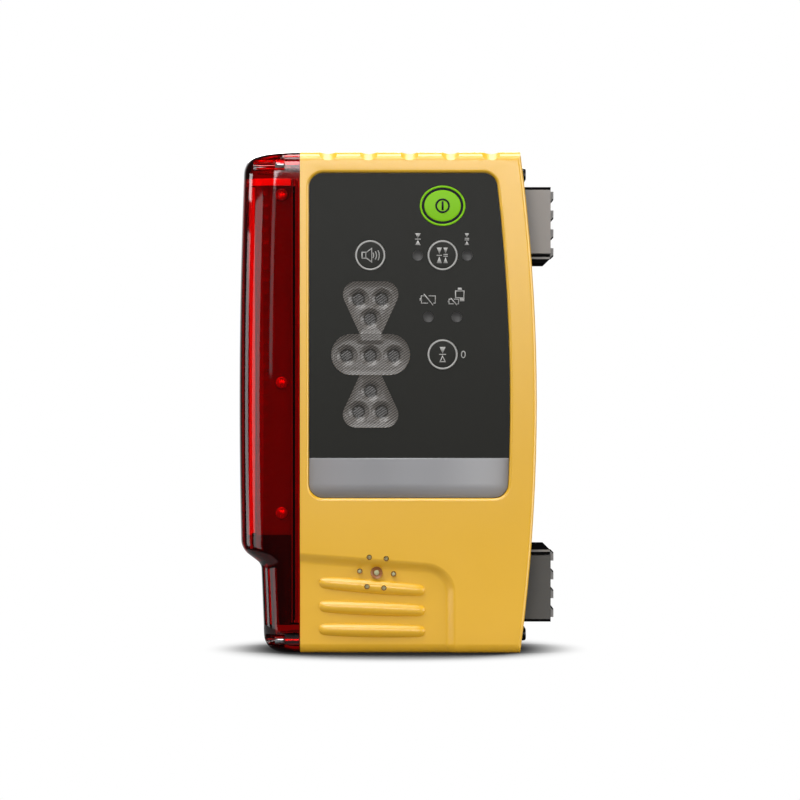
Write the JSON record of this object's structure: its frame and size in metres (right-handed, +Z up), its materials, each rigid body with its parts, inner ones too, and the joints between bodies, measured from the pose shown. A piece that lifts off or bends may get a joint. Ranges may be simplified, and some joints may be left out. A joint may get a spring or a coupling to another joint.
{
  "type": "laser receiver",
  "caption": "Upright machine-mounted laser receiver: yellow casing with keypad and arrow display, red sensor window down one side, magnet mounts on the other.",
  "frame": {"origin": "middle of the base that it stands on", "axes": "+Z up, -Y towards the front face with the keys, -X towards the red window"},
  "size_m": [0.1586, 0.08, 0.251],
  "materials": {
    "casing_yellow": "fine moulded texture, satin",
    "panel_dark": "printed panel, satin",
    "lens_grey": "prismatic smoked lens",
    "key_green": "smooth",
    "key_dark": "printed key, satin",
    "window_red": "clear tinted, polished",
    "seal_rubber": "matt",
    "screw_steel": "plated",
    "screw_black": "black oxide, glossy",
    "board_green": "solder mask",
    "part_black": "satin",
    "lamp_white": "diffused",
    "cell_wrap": "wrapped cell",
    "contact_steel": "nickel plated",
    "insert_brass": "turned",
    "plate_grey": "powder coat",
    "yoke_grey": "grey paint",
    "pole_steel": "ground",
    "magnet_dark": "sintered ferrite"
  },
  "bodies": {
    "casing": {"front_shell": "casing_yellow", "rear_shell": "casing_yellow", "shell_seal": "seal_rubber", "shell_screws": "screw_steel", "front_overlay": "panel_dark", "grade_lens_high": "lens_grey", "grade_lens_level": "lens_grey", "grade_lens_low": "lens_grey", "status_lenses": "lens_grey", "keypad_mat": "seal_rubber", "tact_switches": "part_black", "main_board": "board_green", "board_screws": "screw_steel", "grade_leds": "lamp_white", "status_leds": "lamp_white", "buzzer_membrane": "part_black", "buzzer": "part_black", "sensor_window": "window_red", "window_seal": "seal_rubber", "window_screws": "screw_steel", "sensor_carrier": "part_black", "sensor_board_front": "board_green", "sensor_board_side": "board_green", "sensor_board_rear": "board_green", "photodiodes": "part_black", "sensor_screws": "screw_steel", "battery_tray": "part_black", "tray_screws": "screw_steel", "battery_cells": "cell_wrap", "contact_springs": "contact_steel", "contact_plates": "contact_steel", "door_seal": "seal_rubber", "door_hinge_pin": "screw_steel", "knob_insert": "insert_brass", "side_plate": "plate_grey", "plate_screws": "screw_black", "mount_screws": "screw_steel", "magnet_carrier_upper": "part_black", "magnet_yoke_upper": "yoke_grey", "pole_bars_upper": "pole_steel", "magnet_blocks_upper": "magnet_dark", "magnet_carrier_lower": "part_black", "magnet_yoke_lower": "yoke_grey", "pole_bars_lower": "pole_steel", "magnet_blocks_lower": "magnet_dark"},
    "power_key": {"power_button": "key_green"},
    "sound_key": {"sound_button": "key_dark"},
    "precision_key": {"precision_button": "key_dark"},
    "zero_key": {"zero_button": "key_dark"},
    "door": {"battery_door": "casing_yellow"},
    "knob": {"door_knob": "part_black"}
  },
  "joints": [
    {"name": "power_press", "type": "slide", "parent": "casing", "child": "power_key", "axis": [0, 1, 0], "range_m": [0, 0.0008], "stiffness_N_per_m": 2500},
    {"name": "sound_press", "type": "slide", "parent": "casing", "child": "sound_key", "axis": [0, 1, 0], "range_m": [0, 0.0008], "stiffness_N_per_m": 2500},
    {"name": "precision_press", "type": "slide", "parent": "casing", "child": "precision_key", "axis": [0, 1, 0], "range_m": [0, 0.0008], "stiffness_N_per_m": 2500},
    {"name": "zero_press", "type": "slide", "parent": "casing", "child": "zero_key", "axis": [0, 1, 0], "range_m": [0, 0.0008], "stiffness_N_per_m": 2500},
    {"name": "door_swing", "type": "hinge", "parent": "casing", "child": "door", "pos_m": [0.005, 0.0375, 0.19], "axis": [1, 0, 0], "range_deg": [0, 100]},
    {"name": "knob_turn", "type": "hinge", "parent": "door", "child": "knob", "pos_m": [0.005, 0.0375, 0.048], "axis": [0, 1, 0], "continuous": true}
  ]
}
